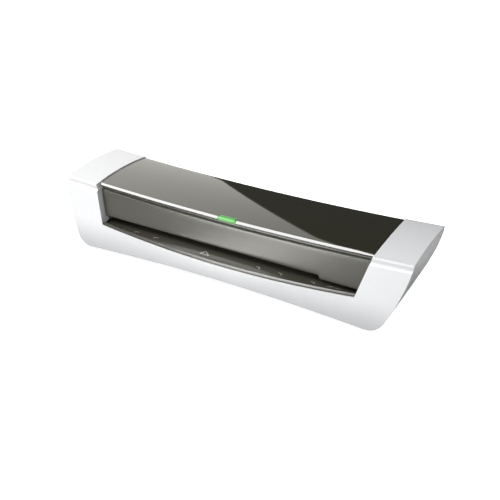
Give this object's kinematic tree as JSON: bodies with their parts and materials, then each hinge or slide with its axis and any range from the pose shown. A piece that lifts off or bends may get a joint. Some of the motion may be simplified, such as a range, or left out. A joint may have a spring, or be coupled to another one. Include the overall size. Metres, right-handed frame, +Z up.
{
  "type": "pouch laminator",
  "caption": "Low desk pouch laminator: white housing with flared end columns, dark gloss top, recessed feed slot over a curved tray, and geared heated rollers inside.",
  "frame": {"origin": "centre of the footprint, on the surface that the feet stand on", "axes": "+X to the right of someone facing the feed slot, -Y towards them, +Z up"},
  "size_m": [0.347, 0.095, 0.0683],
  "materials": {
    "white_gloss": "moulded white ABS with a soft gloss",
    "dark_gloss": "warm dark grey ABS, high gloss",
    "dark_satin": "warm dark grey ABS, satin",
    "dark_matt": "fine-textured dark grey ABS",
    "rubber": "matt black rubber",
    "steel": "zinc-plated steel",
    "screw_steel": "plated steel, bright",
    "silicone": "brick-red silicone, ground finish",
    "nylon": "natural acetal",
    "aluminium": "extruded aluminium",
    "mica": "heating foil in mica",
    "black_plastic": "heat-resistant black plastic",
    "key_green": "translucent green, lit from behind",
    "board_green": "green solder mask on glass-fibre board",
    "capacitor_blue": "dark blue sleeve",
    "relay_blue": "blue moulded case",
    "terminal_green": "green moulded block"
  },
  "bodies": {
    "chassis": {"base_shell": "dark_matt", "capacitor": "capacitor_blue", "cord_gland": "rubber", "drive_motor": "steel", "fascia": "dark_gloss", "feed_tray": "dark_satin", "foot_front_left": "rubber", "foot_front_right": "rubber", "foot_rear_left": "rubber", "foot_rear_right": "rubber", "frame_screw_left_front": "screw_steel", "frame_screw_left_rear": "screw_steel", "frame_screw_right_front": "screw_steel", "frame_screw_right_rear": "screw_steel", "front_tie_bar": "steel", "housing": "white_gloss", "idler_pin": "steel", "key_board": "board_green", "key_lamp": "key_green", "key_switch": "black_plastic", "left_frame": "steel", "lower_bush_left": "nylon", "lower_bush_right": "nylon", "lower_exit_guide": "black_plastic", "lower_heat_plate": "aluminium", "lower_heater": "mica", "main_board": "board_green", "motor_post_front": "steel", "motor_post_top": "steel", "pressure_spring_left": "steel", "pressure_spring_right": "steel", "rear_cover": "dark_matt", "rear_screw_left": "screw_steel", "rear_screw_right": "screw_steel", "rear_tie_bar": "steel", "relay": "relay_blue", "right_frame": "steel", "terminal_block": "terminal_green", "thermal_fuse": "steel", "thermostat": "black_plastic", "top_cover": "dark_gloss", "upper_bush_left": "nylon", "upper_bush_right": "nylon", "upper_exit_guide": "black_plastic", "upper_heat_plate": "aluminium", "upper_heater": "mica"},
    "lower_roller": {"lower_roller": "silicone", "lower_shaft": "steel", "lower_gear": "nylon"},
    "upper_roller": {"upper_roller": "silicone", "upper_shaft": "steel", "upper_gear": "nylon"},
    "idler": {"idler_gear": "nylon"},
    "motor_drive": {"motor_pinion": "nylon", "motor_shaft": "steel"},
    "power_key": {"power_key": "key_green"}
  },
  "joints": [
    {"name": "lower_roller_spin", "type": "hinge", "parent": "chassis", "child": "lower_roller", "pos_m": [-0.0173, 0.014, 0.02185], "axis": [1, 0, 0], "continuous": true},
    {"name": "upper_roller_spin", "type": "hinge", "parent": "chassis", "child": "upper_roller", "pos_m": [-0.0173, 0.014, 0.03815], "axis": [1, 0, 0], "continuous": true},
    {"name": "idler_spin", "type": "hinge", "parent": "chassis", "child": "idler", "pos_m": [0.1079, -0.00076, 0.02581], "axis": [1, 0, 0], "continuous": true},
    {"name": "motor_spin", "type": "hinge", "parent": "chassis", "child": "motor_drive", "pos_m": [0.1079, -0.00306, 0.03885], "axis": [1, 0, 0], "continuous": true},
    {"name": "power_key_press", "type": "slide", "parent": "chassis", "child": "power_key", "axis": [0, 0, -1], "range_m": [0, 0.0008], "stiffness_N_per_m": 1500, "springref_m": -0.0005}
  ],
  "couplings": [
    {"joint": "upper_roller_spin", "follows": "lower_roller_spin", "ratio": -1},
    {"joint": "idler_spin", "follows": "lower_roller_spin", "ratio": -1.1429},
    {"joint": "motor_spin", "follows": "lower_roller_spin", "ratio": 1.3333}
  ]
}
